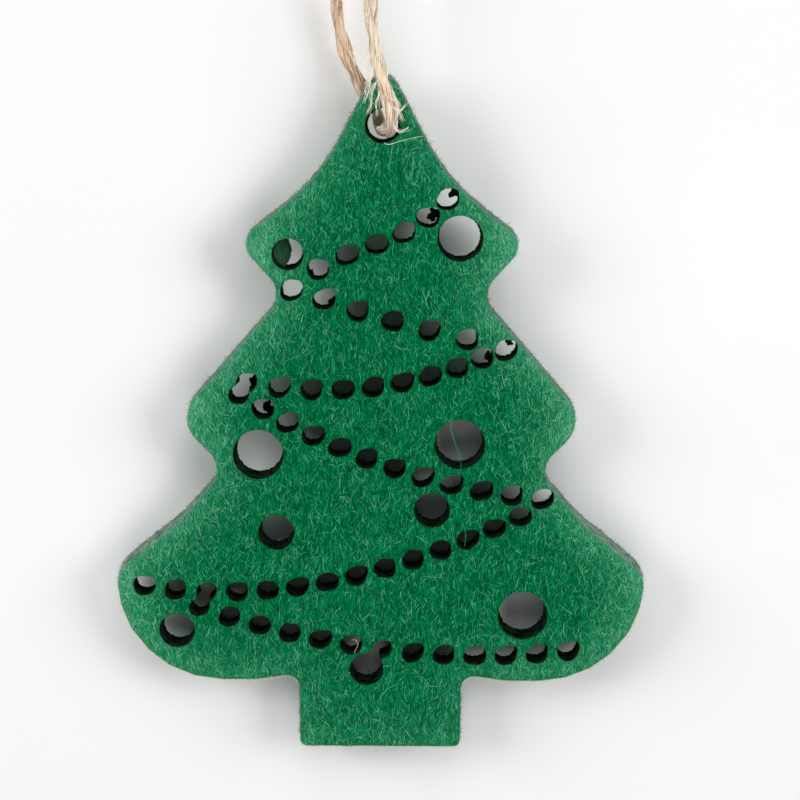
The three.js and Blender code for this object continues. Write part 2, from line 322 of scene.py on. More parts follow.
def wander(count, length, shortest, longest, rows=1):
    """Smooth random numbers round a closed line, with unit spread and waves of these lengths."""
    waves = np.arange(count // 2 + 1)
    wavelength = length / np.maximum(waves, 0.5)
    passed = (wavelength >= shortest) & (wavelength <= longest)
    phases = rng.uniform(0, 2 * np.pi, (rows, len(waves)))
    found = np.fft.irfft(passed * np.exp(1j * phases), count, axis=1)
    return found / np.maximum(found.std(axis=1, keepdims=True), 1e-9)


RELIEF_WAVES = np.stack([
    rng.uniform(0, 2 * np.pi, RELIEF_ROLLS),
    2 * np.pi / rng.uniform(*RELIEF_LENGTHS, RELIEF_ROLLS),
    rng.uniform(0, 2 * np.pi, RELIEF_ROLLS),
], 1)


def relief(x, z):
    """How far the felt's faces stand proud, in soft random rolls."""
    total = np.zeros_like(x)
    for angle, waves, phase in RELIEF_WAVES:
        total = total + np.sin(waves * (x * math.cos(angle) + z * math.sin(angle)) + phase)
    return RELIEF * total / math.sqrt(len(RELIEF_WAVES) / 2)


# Cut edges

def face_loops(node, level):
    """The closed loops that bound a node's flat face at Y = level, with the material on their left."""
    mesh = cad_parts[node].data
    mesh.calc_loop_triangles()
    points = np.array([v.co for v in mesh.vertices]) / MM
    _, merged = np.unique(points.round(3), axis=0, return_inverse=True)
    merged = merged.ravel()
    place = {key: point[[0, 2]] for key, point in zip(merged, points)}
    on_face = np.abs(points[:, 1] - level) < 1e-3
    edges = set()
    for triangle in mesh.loop_triangles:
        corners = list(triangle.vertices)
        if on_face[corners].all():
            keys = merged[corners]
            edges.update(zip(keys.tolist(), np.roll(keys, -1).tolist()))
    after = {a: b for a, b in edges if (b, a) not in edges}
    loops = []
    while after:
        first, here = after.popitem()
        loop = [first]
        while here != first:
            loop.append(here)
            here = after.pop(here)
        loops.append(np.array([place[key] for key in loop]))
    return sorted(loops, key=lambda loop: -area_of(loop))


def area_of(loop):
    """A loop's area, which is negative for a hole."""
    x, z = loop.T
    return 0.5 * float(np.sum(x * np.roll(z, -1) - z * np.roll(x, -1)))


def even_loop(loop, blur):
    """The loop with its points spread evenly, its facets blurred into curves and its area kept."""
    closed = np.vstack([loop, loop[:1]])
    along = np.concatenate([[0], np.cumsum(norm(np.diff(closed, axis=0), axis=1))])
    count = int(round(along[-1] / EDGE_STEP))
    at = np.arange(count) * along[-1] / count
    even = interpolated(at, along, closed)
    waves = np.fft.fftfreq(count, along[-1] / count)
    keep = np.exp(-2 * (np.pi * waves * blur) ** 2)[:, None]
    soft = np.fft.ifft(np.fft.fft(even, axis=0) * keep, axis=0).real
    middle = soft.mean(0)
    return middle + (soft - middle) * math.sqrt(area_of(even) / area_of(soft))


def into_material(loop):
    """Each edge point's direction into the felt."""
    along = unit(np.roll(loop, -1, 0) - np.roll(loop, 1, 0))
    return np.stack([-along[:, 1], along[:, 0]], 1)


def facing_up(inward):
    """How far each wall faces up, from 0 to 1."""
    return np.clip(-inward[:, 1:], 0, 1)


def rim_flare(loop, inward):
    """How far the outline's wall spreads towards the back, which is most on the lowest shoulders."""
    spread = RIM_FLARE + SHOULDER_FLARE * bell(loop[:, 1], *FLARE_BAND)
    return spread * facing_up(inward)[:, 0]


def neck_width(loop):
    """Each point's distance across a neck, where the loop comes back close to itself."""
    apart = norm(loop[:, None] - loop, axis=2)
    steps = np.abs(np.arange(len(loop))[:, None] - np.arange(len(loop)))
    along = np.minimum(steps, len(loop) - steps) * EDGE_STEP
    return np.where(along > NECK_DETOUR * apart + EDGE_STEP, apart, NO_NECK).min(1)


def outline_edge(loop):
    """The outline's front edge."""
    edge = even_loop(loop, EDGE_BLUR)
    edge += bell(edge[:, 1:], *SHOULDER_BAND) * (even_loop(loop, SHOULDER_BLUR) - edge)
    inward = into_material(edge)
    below_tip = np.clip((TIP_FOOT - edge[:, 1:]) / TIP_FADE, 0, 1)
    return edge + inward * facing_up(inward) * RIM_INSET * below_tip


def hole_edge(loop):
    """A hole's front edge."""
    edge = even_loop(loop, EDGE_BLUR)
    if neck_width(edge).min() < NECKED:
        return pinched(even_loop(loop, 2 * EDGE_BLUR))
    return misshapen(edge) if -area_of(loop) < BEAD_AREA else edge


def pinched(loop):
    """A hole that two cuts share, with the neck between them drawn in."""
    short = np.clip(NECKED - neck_width(loop), 0, NECKED)
    near = np.stack([np.roll(short, shift) for shift in range(-2, 3)]).mean(0)
    return loop - into_material(loop) * (NECK_PINCH * near)[:, None]


def misshapen(loop):
    """A bead hole that the cutter left a little out of round."""
    spokes = loop - loop.mean(0)
    turn = np.arctan2(spokes[:, 1], spokes[:, 0])
    first, second = rng.uniform(0, 2 * np.pi, 2)
    swell = BEAD_OVAL * np.cos(2 * turn + first) + BEAD_THREE_SIDED * np.cos(3 * turn + second)
    return loop + spokes * swell[:, None]


def plug_outline(plug, holes):
    """The edge of the hole that a plug sits in, cut off by a torn line right of the hole's middle."""
    hole = min(holes, key=lambda loop: norm(loop.mean(0) - plug.mean(0)))
    middle = hole.mean(0)
    across, up = (hole[::-1] - middle).T
    torn = PLUG_EDGE - PLUG_BULGE * up**2
    for depth, waves, phase in PLUG_TEETH:
        torn = torn + depth * np.sin(waves * up + phase)
    return even_loop(middle + np.stack([np.minimum(across, torn), up], 1), PLUG_BLUR)


def inside(loops, points):
    """Whether each point is on material: an odd number of cut edges lies to its left."""
    crossings = np.zeros(len(points), int)
    order = np.argsort(points[:, 1])
    levels = points[order, 1]
    for loop in loops:
        for a, b in zip(loop, np.roll(loop, -1, 0)):
            first, last = np.searchsorted(levels, sorted((a[1], b[1])))
            rows = order[first:last]
            if len(rows):
                share = (points[rows, 1] - a[1]) / (b[1] - a[1])
                crossings[rows] += a[0] + share * (b[0] - a[0]) < points[rows, 0]
    return crossings % 2 == 1


class Cutout:
    """The cut edges of a felt piece, with its outline first, and what lies between them."""

    def __init__(self, node):
        low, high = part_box(node)
        self.front = low.y / MM
        self.back = high.y / MM
        outline, *holes = face_loops(node, self.front)
        self.loops = [outline_edge(outline)] + [hole_edge(hole) for hole in holes]
        for loop, gap in list(zip(self.loops, self.clear_of_others()))[1:]:
            if neck_width(loop).min() == NO_NECK:
                loop += into_material(loop) * np.minimum(HOLE_SPREAD, gap / 4)[:, None]
        self.measure()

    def measure(self):
        self.points = np.vstack(self.loops)
        self.low = self.points.min(0)
        self.high = self.points.max(0)

    def clear_of_others(self):
        """Each edge point's distance to the nearest other loop."""
        gaps = []
        for i, loop in enumerate(self.loops):
            others = np.vstack([other for j, other in enumerate(self.loops) if j != i] or [loop + 100])
            gaps.append(distance_to(others, loop))
        return gaps


# Cut felt

def wall_ring(loop, gap, outer, cutout, ragged, edge_round):
    """A cut wall as rows of points from front to back, with a soft front and a ragged back edge."""
    length = len(loop) * EDGE_STEP
    neck = neck_width(loop)
    necked = outer or neck.min() < NECKED
    inward = into_material(loop) if necked else unit(loop - loop.mean(0))
    taper = -BEAD_TAPER if -area_of(loop) < BEAD_AREA else -HOLE_TAPER
    if outer:
        taper = -rim_flare(loop, inward)
    room = np.minimum(1, NECK_SHARE * np.minimum(gap, neck) / (2 * EDGE_ROUND))
    most = NO_NECK if outer else NECK_SHARE * neck
    tears = wander(len(loop), length, *TEAR_LENGTHS)[0]
    frays = wander(len(loop), length, *FRAY_LENGTHS, len(WALL_DEPTHS))
    ring = np.zeros((len(WALL_DEPTHS), len(loop), 3))
    for j, depth in enumerate(WALL_DEPTHS):
        tear = np.clip(0.7 * tears + 0.5 * frays[j], -TEAR_MOST, TEAR_MOST)
        tear = ragged * WALL_RAGGEDNESS[j] * tear * (room if depth < 0.5 else 1)
        inset = edge_round * WALL_ROUNDING[j] * room + taper * depth + tear
        ring[j][:, [0, 2]] = loop + inward * np.clip(inset, -most, most)[:, None]
        ring[j][:, 1] = cutout.front + (cutout.back - cutout.front) * depth
    ring[-1, :, 1] += 0.25 * ragged * frays[0]
    return ring


def face_grid(cutout):
    """Points spread over a face in staggered rows, clear of the cut edges."""
    columns = np.arange(cutout.low[0], cutout.high[0], FACE_STEP)
    rows = np.arange(cutout.low[1], cutout.high[1], FACE_ROW_STEP)
    grid = np.stack(np.meshgrid(columns, rows), -1)
    grid[1::2, :, 0] += FACE_STEP / 2
    grid = grid.reshape(-1, 2) + rng.uniform(-FACE_JITTER, FACE_JITTER, (grid.size // 2, 2))
    grid = grid[inside(cutout.loops, grid)]
    return grid[distance_to(cutout.points, grid) > EDGE_ROUND + FACE_MARGIN]


def face_triangles(loops, inner):
    """Triangles between these loops, through the inner points. Indices run over the loops, then inner."""
    edges = []
    start = 0
    for loop in loops:
        ids = np.arange(start, start + len(loop))
        edges += list(zip(ids.tolist(), np.roll(ids, -1).tolist()))
        start += len(loop)
    points = np.vstack(loops + [inner])
    _, _, faces, sources, *_ = delaunay_2d_cdt([Vector(p) for p in points], edges, [], 0, 1e-7)
    names = np.array([ids[0] for ids in sources])
    triangles = names[np.array(faces)]
    return triangles[inside(loops, points[triangles].mean(1))]


def felt_piece(name, cutout, haze, material, ragged, edge_round):
    """A closed felt solid: two rolling faces and the cut walls between them."""
    rings = []
    for number, (loop, gap) in enumerate(zip(cutout.loops, cutout.clear_of_others())):
        rings.append(wall_ring(loop, gap, number == 0, cutout, ragged, edge_round))
    levels = len(WALL_DEPTHS)
    counts = [ring.shape[1] for ring in rings]
    starts = levels * (np.cumsum(counts) - counts)
    walls = [start + tube_quads(levels, count)[:, [0, 3, 2, 1]] for start, count in zip(starts, counts)]
    grid = face_grid(cutout)
    points = [ring.reshape(-1, 3) for ring in rings]
    total = levels * sum(counts)
    faces = [np.vstack(walls)]
    for level, y, side in ((0, cutout.front, -1), (levels - 1, cutout.back, 1)):
        boundary = [ring[level][:, [0, 2]] for ring in rings]
        edge_ids = np.concatenate([s + level * c + np.arange(c) for s, c in zip(starts, counts)])
        ids = np.concatenate([edge_ids, total + np.arange(len(grid))])
        points.append(np.stack([grid[:, 0], y + side * relief(grid[:, 0], grid[:, 1]), grid[:, 1]], 1))
        total += len(grid)
        triangles = ids[face_triangles(boundary, grid)]
        faces.append(triangles if side < 0 else triangles[:, ::-1])
    points = np.vstack(points)
    depth, rim, singe = np.zeros((3, len(points)))
    wall_out = np.zeros((len(points), 2))
    for number, (start, count) in enumerate(zip(starts, counts)):
        part = slice(start, start + levels * count)
        depth[part] = np.repeat(WALL_DEPTHS, count)
        rim[part] = number == 0
        singe[part] = np.repeat(WALL_SINGE, count)
        wall_out[part] = -np.tile(into_material(cutout.loops[number]), (levels, 1))
    flat = points[:, [0, 2]]
    margin = 1.5
    span = cutout.high - cutout.low + 2 * margin
    wall_spread = flat + wall_out * (1.2 * depth[:, None])
    chart = (wall_spread - cutout.low + margin) / span * (0.5, 1.0)
    back_chart = (flat - cutout.low + margin) / span * (0.5, 1.0) + (0.5, 0.0)
    values = {"rim": rim, "singe": singe, "haze": haze.at(flat)}
    return mesh_piece(name, points, faces, [chart, chart, back_chart], material, values)


class Haze:
    """How much felt is missing round each place, which is how far a painted sheen pales the felt there."""

    def __init__(self, cutout):
        margin = 4 * HAZE_REACH
        self.low = cutout.low - margin
        columns, rows = (np.arange(a - margin, b + margin) for a, b in zip(cutout.low, cutout.high))
        cells = np.stack(np.meshgrid(columns, rows), -1).reshape(-1, 2)
        felt_here = inside(cutout.loops[:1], cells).reshape(len(rows), len(columns)).astype(float)
        steps = np.arange(-3 * HAZE_REACH, 3 * HAZE_REACH + 1)
        weights = np.exp(-0.5 * (steps / HAZE_REACH) ** 2)
        weights = weights / weights.sum()
        for axis in (0, 1):
            felt_here = np.apply_along_axis(np.convolve, axis, felt_here, weights, "same")
        self.missing = 1 - felt_here

    def at(self, points):
        column, row = np.round(points - self.low).astype(int).T
        share = np.interp(HANG_LEVEL - points[:, 1], HAZE_DEPTHS, HAZE_SHARES)
        return share * self.missing[row, column] * np.where(points[:, 0] > 0, 1.0, HAZE_LEFT)


# Fibres

def ribbons(paths, sides, widths, shades):
    """Points, quads and a map of flat fibres. Each path is a row of points, and sides says how it lies.

    The map puts each fibre at its own shade, from dark on the left to pale on the right.
    """
    count, steps, _ = paths.shape
    half = sides * widths[:, :, None] / 2
    points = np.stack([paths - half, paths + half], 2).reshape(-1, 3)
    first = (np.arange(count)[:, None] * steps + np.arange(steps - 1)).ravel() * 2
    quads = np.stack([first, first + 1, first + 3, first + 2], 1)
    across = np.clip(np.repeat(shades, steps * 2), 0.01, 0.99) + np.tile([-0.004, 0.004], steps * count)
    up = np.tile(np.linspace(0.02, 0.98, steps).repeat(2), count)
    return points, quads, np.stack([across, up], 1)


def fibre_piece(name, material, points, quads, places):
    return mesh_piece(name, points, [quads], [places], material)


def rolled_sides(paths, out, roll):
    """Across each fibre: square to its run, turned from the surface by its roll."""
    run = unit(np.gradient(paths, axis=1))
    flat = unit(np.cross(run, out))
    return around(flat, np.cross(flat, run), roll[:, None])


def face_fibres(layer, cutout, haze, material, side):
    """A layer of loose fibres over one face of the felt."""
    kind = FIBRE_LAYERS[layer]
    base = rng.uniform(cutout.low, cutout.high, (2 * kind.count, 2))
    base = base[inside(cutout.loops, base)][:kind.count]
    count = len(base)
    lean = rng.normal(0, kind.lean, count)
    length = kind.length * rng.lognormal(0, LENGTH_SPREAD, count)
    bend = rng.normal(0, kind.bow, count)
    width = kind.width * rng.uniform(*WIDTH_SPREAD, count)
    shade = rng.uniform(*THREAD_SHADES, count) if layer == "thread" else rng.beta(*FIBRE_SHADES, count)
    length = np.minimum(length, LENGTH_AT_EDGE + LENGTH_PER_MM * distance_to(cutout.points, base))
    s = np.linspace(-1, 1, kind.steps)
    run = np.stack([np.sin(lean), np.cos(lean)], 1)
    across = np.stack([run[:, 1], -run[:, 0]], 1)
    flat = base[:, None] + run[:, None] * (s[:, None] * length[:, None, None] / 2)
    arch = (1 - s**2)[:, None] * (bend * length)[:, None, None]
    flat = flat + across[:, None] * arch
    lift = rng.gamma(2.0, FIBRE_LIFT, count) + FIBRE_SUNK
    height = lift[:, None] * (1 - s**2) - FIBRE_SUNK + relief(flat[..., 0], flat[..., 1])
    face = cutout.back if side > 0 else cutout.front
    paths = np.stack([flat[..., 0], face + side * height, flat[..., 1]], -1)
    sides = rolled_sides(paths, (0, side, 0), rng.uniform(-0.8, 0.8, count))
    widths = width[:, None] * (1 - 0.5 * s**2)
    # Painted sheen: fibres near the outline are drawn paler
    shade = shade + HAZE_SHADE * haze.at(base)
    name = f"felt_{layer}_{'back' if side > 0 else 'front'}"
    return fibre_piece(name, material, *ribbons(paths, sides, widths, shade))


def edge_fibres(name, cutout, material, outer, count):
    """Short fibres that stick out of the outline's walls, or out of the holes'."""
    steps = 4
    loops = cutout.loops[:1] if outer else cutout.loops[1:]
    edges = np.vstack(loops)
    picked = rng.integers(0, len(edges), count)
    inward = np.vstack([into_material(loop) for loop in loops])[picked]
    underside = np.clip(UNDERSIDE_SLOPE * inward[:, 1], 0, UNDERSIDE_MOST)
    underside = underside * np.clip((UNDERSIDE_LEVEL - edges[picked, 1]) / UNDERSIDE_FADE, 0, 1)
    highlit_low_edge = rng.random(count) < outer * underside
    depth = rng.beta(1.2, 1.0, count) * np.where(highlit_low_edge, 0.1, 1.0)
    taper = -depth * (rim_flare(edges[picked], inward) if outer else HOLE_TAPER)
    root = edges[picked] + inward * (taper + EDGE_FIBRE_ROOT)[:, None]
    y = cutout.front + (cutout.back - cutout.front) * depth
    tangent = np.stack([inward[:, 1], -inward[:, 0]], 1)
    reach = rng.gamma(2.0, RIM_REACH if outer else HOLE_REACH, count)
    slide = rng.normal(0, EDGE_FIBRE_SLIDE, count)
    drift_back = rng.normal(0, EDGE_FIBRE_SLIDE, count)
    s = np.linspace(0, 1, steps)
    out = -inward[:, None] * (reach[:, None, None] * np.sin(s * 1.9)[:, None])
    flat = root[:, None] + out + tangent[:, None] * (slide[:, None, None] * s[:, None])
    level = y[:, None] + drift_back[:, None] * s**1.5
    paths = np.stack([flat[..., 0], level, flat[..., 1]], -1)
    away = np.stack([-inward[:, 0], np.zeros(count), -inward[:, 1]], 1)[:, None]
    sides = rolled_sides(paths, away, rng.uniform(-1.5, 1.5, count))
    widths = EDGE_FIBRE_WIDTH * rng.uniform(0.6, 1.1, count)[:, None] * np.linspace(1, 0.4, steps)
    shade = np.where(depth > 0.8, rng.uniform(0, 0.2, count), rng.uniform(0.25, 0.7, count))
    # Painted highlight: fibres on the low front edges get the palest shade
    shade = np.where(highlit_low_edge, 1.0, shade)
    return fibre_piece(name, material, *ribbons(paths, sides, widths, shade))


def laid_fibres(name, routes, material, width, shades):
    """Single fibres laid through a few given points each, facing the front."""
    steps = 16
    paths = []
    for route in routes:
        line = smooth_path(route, 0.1)
        at = np.linspace(0, len(line) - 1, steps)
        paths.append(interpolated(at, np.arange(len(line)), line))
    paths = np.array(paths)
    sides = rolled_sides(paths, (0, -1, 0), np.zeros(len(paths)))
    widths = width * np.tile(np.interp(np.arange(steps), [0, 2, steps - 1], [0.6, 1, 0.5]), (len(paths), 1))
    return fibre_piece(name, material, *ribbons(paths, sides, widths, shades))


def hole_tags(name, tags, material):
    """Singed scraps of felt that still cling to the back edges of some bead holes."""
    corners = 14
    turn = np.linspace(0, 2 * np.pi, corners, endpoint=False)
    here = np.arange(corners)
    after = np.roll(here, -1)
    points = []
    triangles = []
    for number, (x, z, width, height) in enumerate(tags):
        torn = 1 + TAG_TORN * wander(corners, 1.0, 0.2, 0.6)[0]
        ring = np.stack([x + width / 2 * torn * np.cos(turn), z + height / 2 * torn * np.sin(turn)], 1)
        start = number * (2 * corners + 2)
        for y in TAG_FACES:
            points.append(np.insert(ring, 1, y, axis=1))
        points.append(np.array([(x, y, z) for y in TAG_FACES]))
        front, back = start + here, start + corners + here
        front_next, back_next = start + after, start + corners + after
        middle = np.full(corners, start + 2 * corners)
        faces = (middle, front, front_next), (middle + 1, back_next, back)
        walls = (front, back, back_next), (front, back_next, front_next)
        triangles += [np.stack(three, 1) for three in faces + walls]
    points = np.vstack(points)
    flat = points[:, [0, 2]]
    chart = (flat - flat.min(0)) / np.ptp(flat, axis=0).max()
    return mesh_piece(name, points, [np.vstack(triangles)], [chart], material)


# Twine

def smooth_path(points, step):
    """An even line through the points, on a centripetal Catmull-Rom curve."""
    points = np.asarray(points, float)
    ends = np.vstack([2 * points[0] - points[1], points, 2 * points[-1] - points[-2]])
    t = np.linspace(0, 1, 24, endpoint=False)[:, None]
    pieces = []
    for a, b, c, d in zip(ends, ends[1:], ends[2:], ends[3:]):
        gaps = [math.sqrt(norm(q - p)) for p, q in ((a, b), (b, c), (c, d))]
        leave = gaps[1] * ((b - a) / gaps[0] - (c - a) / (gaps[0] + gaps[1]) + (c - b) / gaps[1])
        arrive = gaps[1] * ((c - b) / gaps[1] - (d - b) / (gaps[1] + gaps[2]) + (d - c) / gaps[2])
        blend = (2 * t**3 - 3 * t**2 + 1) * b + (t**3 - 2 * t**2 + t) * leave
        pieces.append(blend + (3 * t**2 - 2 * t**3) * c + (t**3 - t**2) * arrive)
    line = np.vstack(pieces + [points[-1:]])
    along = np.concatenate([[0], np.cumsum(norm(np.diff(line, axis=0), axis=1))])
    at = np.linspace(0, along[-1], max(4, int(round(along[-1] / step)) + 1))
    return interpolated(at, along, line)


def carried_frames(path):
    """Two directions across the path that don't spin about it."""
    run = unit(np.gradient(path, axis=0))
    first = np.zeros_like(path)
    guess = np.eye(3)[0 if abs(run[0][0]) < 0.9 else 1]
    for i, direction in enumerate(run):
        guess = guess - direction * guess.dot(direction)
        guess = guess / norm(guess)
        first[i] = guess
    return first, np.cross(run, first)


def drift(count, step, wavelength, rows):
    """Slow random walks along an open line, one row each, with unit spread."""
    knots = max(4, int(count * step / wavelength) + 3)
    values = rng.normal(0, 1, (rows, knots))
    at = np.linspace(0, knots - 1.001, count)
    low = at.astype(int)
    share = at - low
    share = share * share * (3 - 2 * share)
    return values[:, low] * (1 - share) + values[:, low + 1] * share


class Yarn:
    """Points, quads and maps of two-ply jute along a path, gathered fibre by fibre."""

    def __init__(self, path, start_angle=0.0, opening=None):
        self.path = path
        self.step = float(norm(np.diff(path, axis=0), axis=1).mean())
        self.side, self.other = carried_frames(path)
        self.along = np.arange(len(path)) * self.step
        self.opening = np.ones(len(path)) if opening is None else opening
        self.turn = start_angle - 2 * np.pi * self.along / LAY
        self.parts = []

    def add(self, points, quads, places):
        start = sum(len(part[0]) for part in self.parts)
        self.parts.append((points, quads + start, places))

    def at(self, values, along):
        return interpolated(along, self.along, values)

    def add_cores(self):
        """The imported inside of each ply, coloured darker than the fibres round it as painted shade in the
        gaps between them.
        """
        spokes = np.linspace(0, 2 * np.pi, CORE_SIDES, endpoint=False)
        for ply in (0, 1):
            across = around(self.side, self.other, self.turn + np.pi * ply)
            middle = self.path + across * (PLY_OFFSET * self.opening)[:, None]
            count = len(middle)
            rough = 1 + 0.08 * drift(count, self.step, 1.2, CORE_SIDES).T
            radius = (PLY_RADIUS * CORE_SHARE) * rough * self.opening[:, None] ** 0.5
            angle = spokes - PLY_TWIST * self.turn[:, None]
            offset = around(self.side[:, None], self.other[:, None], angle)
            points = (middle[:, None] + offset * radius[..., None]).reshape(-1, 3)
            # Painted shade: the cores sit low on the ramp, so the gaps between the fibres read dark
            shade = np.clip(0.2 + 0.1 * drift(count, self.step, 2.0, CORE_SIDES).T, 0.02, 0.98).ravel()
            up = np.tile(np.arange(CORE_SIDES) / CORE_SIDES, count)
            self.add(points, tube_quads(count, CORE_SIDES), np.stack([shade, up], 1))

    def add_fibres(self, density=1.0):
        """Long fibres round the plies. Some leave them at their ends, and the back strand's are drawn
        darker, a painted shade behind the felt.
        """
        length = self.along[-1]
        span = min(FIBRE_SPAN, 0.8 * length)
        steps = max(6, int(span / FIBRE_STEP))
        count = int(density * 2 * PLY_FIBRES * length / span)
        middle = rng.uniform(-0.35 * span, length + 0.35 * span, count)
        reach = span * rng.uniform(0.35, 0.6, count)
        s = np.linspace(-1, 1, steps)
        at = np.clip(middle[:, None] + reach[:, None] * s, 0, length)
        ply = rng.integers(0, 2, count)
        turn = np.interp(at, self.along, self.turn)
        opening = np.interp(at, self.along, self.opening)
        spoke = rng.uniform(0, 2 * np.pi, count)[:, None] - PLY_TWIST * turn
        spoke = spoke + 0.3 * drift(steps, 2 * span / steps, 9.0, count)
        depth = rng.beta(5, 1.5, count)[:, None] * (1 + 0.07 * drift(steps, 2 * span / steps, 5.0, count))
        radius = PLY_RADIUS * depth * opening**0.7
        loose = rng.random(count) < LOOSE_SHARE
        free = np.clip((np.abs(s) - 0.8) / 0.2, 0, 1) ** 2
        flare = np.minimum(rng.gamma(2.0, 0.22, count), 1.1)
        radius = radius + (loose * flare)[:, None] * free
        angle = turn + np.pi * ply[:, None]
        spread = PLY_OFFSET * opening
        cross = np.stack([
            spread * np.cos(angle) + radius * np.cos(spoke),
            spread * np.sin(angle) + radius * np.sin(spoke),
        ], -1)
        one = self.at(self.side, at)
        two = self.at(self.other, at)
        paths = self.at(self.path, at) + one * cross[..., :1] + two * cross[..., 1:]
        out = unit(around(one, two, spoke))
        sides = rolled_sides(paths, out, rng.normal(0, 0.5, count))
        dark = rng.random(count) < DARK_SHARE
        shade = np.where(dark, rng.uniform(0.02, 0.2, count), rng.uniform(0.5, 0.99, count))
        # Painted shade: fibres of the strand behind the felt are drawn darker
        shade = shade - BACK_SHADE * (self.at(self.path, middle)[:, 1] > 0)
        wide = np.where(dark, rng.uniform(0.04, 0.07, count), rng.uniform(0.04, 0.1, count))
        widths = wide[:, None] * np.interp(np.abs(s), [0, 0.75, 1], [1, 0.9, 0.35])
        self.add(*ribbons(paths, sides, widths, shade))

    def add_hairs(self, count):
        """Short wisps that stand off the twine."""
        steps = 6
        at = rng.uniform(0, self.along[-1], count)
        spoke = rng.uniform(0, 2 * np.pi, count)
        length = rng.gamma(1.6, 0.6, count)
        s = np.linspace(0, 1, steps)
        one, two = self.at(self.side, at), self.at(self.other, at)
        out = around(one, two, spoke)
        run = unit(self.at(np.gradient(self.path, axis=0), at)) * rng.choice([-1, 1], count)[:, None]
        curl = unit(np.cross(run, out)) * rng.normal(0, 0.5, count)[:, None]
        rise = rng.uniform(0.15, 0.9, count)
        root = self.at(self.path, at) + out * 0.75 * TWINE_DIAMETER / 2
        go = run[:, None] * (1 - 0.35 * s[:, None]) * s[:, None]
        up = out[:, None] * (rise[:, None] * s**1.4)[..., None]
        paths = root[:, None] + length[:, None, None] * (go + up + curl[:, None] * (s**2)[:, None])
        sides = rolled_sides(paths, out[:, None], rng.uniform(-1.5, 1.5, count))
        widths = rng.uniform(0.03, 0.06, count)[:, None] * np.linspace(1, 0.4, steps)
        self.add(*ribbons(paths, sides, widths, rng.uniform(0.45, 0.97, count)))

    def piece(self, name, material):
        return fibre_piece(name, material, *self.gathered())

    def gathered(self):
        return [np.vstack(arrays) for arrays in zip(*self.parts)]


def loop_points():
    """The twine's route, as in the CAD model: down the front, through the hanging hole and up the back."""
    drop = HANG_LEVEL
    strand_y = 3.4
    turn_top = drop + 2.4
    front = [
        (BESIDE_KNOT, -0.3, KNOT_FOOT), (1.3, -0.6, -2.5), (1.9, -1.5, -12), (0.2, -2.4, drop + 30),
        (-1.7, -3.0, drop + 18), (-1.1, -strand_y, drop + 11), (0.4, -strand_y, drop + 5),
    ]
    turn = []
    turn_sides = [1.2, 1.3, 1.0, 0.4, -0.2, -0.7, -1.2]
    for i, x in enumerate(turn_sides):
        angle = math.pi * i / (len(turn_sides) - 1)
        turn.append((x, -strand_y * math.cos(angle), turn_top - strand_y * math.sin(angle)))
    back = [
        (-2.7, strand_y, drop + 4.6), (-4.8, strand_y, drop + 8.6), (-6.0, 3.2, drop + 12.4),
        (-6.7, 3.0, drop + 17), (-6.6, 2.2, drop + 28), (-3.6, 1.0, -12), (-1.4, 0.5, -2.5),
        (-BESIDE_KNOT, 0.3, KNOT_FOOT),
    ]
    return front + turn + back


def thickness_along(route):
    """How open the twine is along its route: thin at the back above the tip, and full in front of it."""
    opening = 1 + 0.09 * drift(len(route), TWINE_STEP, 9.0, 1)[0]
    opening -= 0.35 * bell(route[:, 2], -41.0, 6.0) * (route[:, 1] > 0)
    opening += 0.18 * bell(route[:, 2], -55.0, 4.0) * (route[:, 1] < -2)
    return opening


def frayed_piece(material):
    """Fibres that have come loose from the twine near the hole, most of them in bundles."""
    frays = [np.array(fray) for fray in FRAYED_ENDS]
    for fray in frays[BUNDLES]:
        for _ in range(BUNDLE_EXTRA):
            frays.append(fray + rng.normal(0, BUNDLE_SPREAD, fray.shape))
    shades = rng.uniform(0.3, 0.97, len(frays))
    return laid_fibres("twine_frayed_ends", frays, material, width=0.065, shades=shades)


def dense_yarn(path, start_angle, opening=None, hairs=0):
    """Yarn for a short path, with more fibres than the loop's."""
    yarn = Yarn(path, start_angle, opening)
    yarn.add_cores()
    yarn.add_fibres(density=1.2)
    yarn.add_hairs(hairs)
    return yarn


def knot_piece(material):
    """Two strands that run through, and a doubled turn that leans round them."""
    runs = []
    for side in (1, -1):
        line = [(BESIDE_KNOT, 0, KNOT_FOOT), (1.0, 0, 2.5), (1.0, 0, 5.5), (BESIDE_KNOT, 0, KNOT_TOP)]
        runs.append([(side * x, y, z) for x, y, z in line])
    wrap = [(0.6, 0.4, 2.6)]
    for degrees in range(0, 721, 30):
        angle = math.radians(degrees)
        x, y = KNOT_RADII[0] * math.cos(angle), KNOT_RADII[1] * math.sin(angle)
        wrap.append((x, y, 3.2 + 2.0 * degrees / 720 - math.tan(KNOT_LEAN) * x))
    wrap.append((0.6, -0.4, 5.6))
    runs.append(wrap)
    strands = [dense_yarn(smooth_path(run, KNOT_STEP), rng.uniform(0, 6), hairs=20) for run in runs]
    for strand in strands[1:]:
        strands[0].add(*strand.gathered())
    return strands[0].piece("twine_knot_yarn", material)


def tail_piece(name, side, material):
    """A loose end above the knot, which opens towards its tip."""
    path = smooth_path([
        (side * BESIDE_KNOT, 0, KNOT_TOP), (side * BESIDE_KNOT, 0, KNOT_TOP + 2),
        (side * 2.04, side * -0.8, KNOT_TOP + 7.2), (side * 3.4, side * -0.6, KNOT_TOP + 12),
    ], KNOT_STEP)
    opening = np.interp(np.linspace(0, 1, len(path)), [0, 0.7, 1], [1, 1.05, 1.5])
    return dense_yarn(path, side, opening, hairs=40).piece(name, material)


# Materials

def srgb(red, green, blue):
    """A colour written as it looks on screen, as the linear numbers that shaders use."""
    return tuple((c / 255) ** 2.2 for c in (red, green, blue)) + (1.0,)


def set_inputs(node, values):
    for key, value in values.items():
        node.inputs[key].default_value = value


